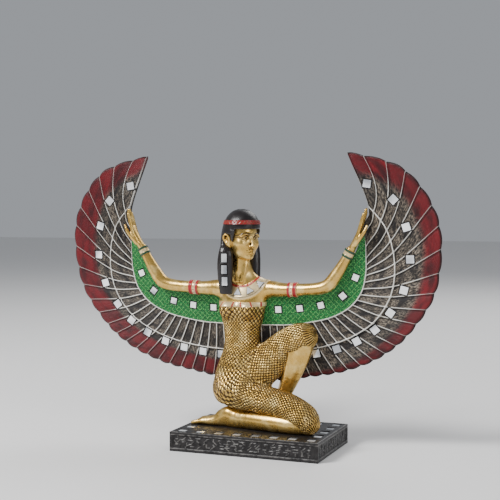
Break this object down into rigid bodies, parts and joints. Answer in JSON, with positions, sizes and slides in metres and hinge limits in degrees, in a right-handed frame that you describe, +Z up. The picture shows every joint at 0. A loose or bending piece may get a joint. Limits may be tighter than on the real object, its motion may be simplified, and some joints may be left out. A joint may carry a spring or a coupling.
{
  "type": "winged kneeling goddess figurine",
  "caption": "Kneeling goddess with spread, upswept wings on a low rectangular plinth, a standing ornament cast in one piece and set with small mirror tiles.",
  "frame": {"origin": "centre of the plinth's underside", "axes": "+X along the wings and the plinth's long side, towards the knees; -Y towards the front of the figure; +Z up"},
  "size_m": [0.284, 0.072, 0.2105],
  "materials": {
    "painted_resin": "metallic gold paint with a brown wash on the figure, dark feathers with red tips, green panels, black wig and plinth",
    "mirror": "small bevel-free mirror tiles"
  },
  "bodies": {
    "root": {"figure_casting": "painted_resin", "collar_mirror_1": "mirror", "collar_mirror_2": "mirror", "collar_mirror_3": "mirror", "feather_mirror_left_01": "mirror", "feather_mirror_left_02": "mirror", "feather_mirror_left_03": "mirror", "feather_mirror_left_04": "mirror", "feather_mirror_left_05": "mirror", "feather_mirror_left_06": "mirror", "feather_mirror_left_07": "mirror", "feather_mirror_left_08": "mirror", "feather_mirror_left_09": "mirror", "feather_mirror_left_10": "mirror", "feather_mirror_left_11": "mirror", "feather_mirror_left_12": "mirror", "feather_mirror_right_01": "mirror", "feather_mirror_right_02": "mirror", "feather_mirror_right_03": "mirror", "feather_mirror_right_04": "mirror", "feather_mirror_right_05": "mirror", "feather_mirror_right_06": "mirror", "feather_mirror_right_07": "mirror", "feather_mirror_right_08": "mirror", "feather_mirror_right_09": "mirror", "feather_mirror_right_10": "mirror", "lappet_mirror_near_1": "mirror", "lappet_mirror_near_2": "mirror", "lappet_mirror_near_3": "mirror", "panel_mirror_left_1": "mirror", "panel_mirror_left_2": "mirror", "panel_mirror_left_3": "mirror", "panel_mirror_left_4": "mirror", "panel_mirror_left_5": "mirror", "panel_mirror_right_1": "mirror", "panel_mirror_right_2": "mirror", "panel_mirror_right_3": "mirror", "panel_mirror_right_4": "mirror", "panel_mirror_right_5": "mirror", "plinth_mirror_corner": "mirror", "plinth_mirror_front_1": "mirror", "plinth_mirror_front_2": "mirror", "plinth_mirror_front_3": "mirror", "plinth_mirror_front_4": "mirror", "plinth_mirror_front_5": "mirror", "plinth_mirror_front_6": "mirror", "plinth_mirror_front_7": "mirror", "plinth_mirror_front_8": "mirror", "plinth_mirror_left_1": "mirror", "plinth_mirror_left_3": "mirror", "plinth_mirror_right_1": "mirror", "plinth_mirror_right_2": "mirror", "plinth_mirror_right_3": "mirror"}
  },
  "joints": []
}
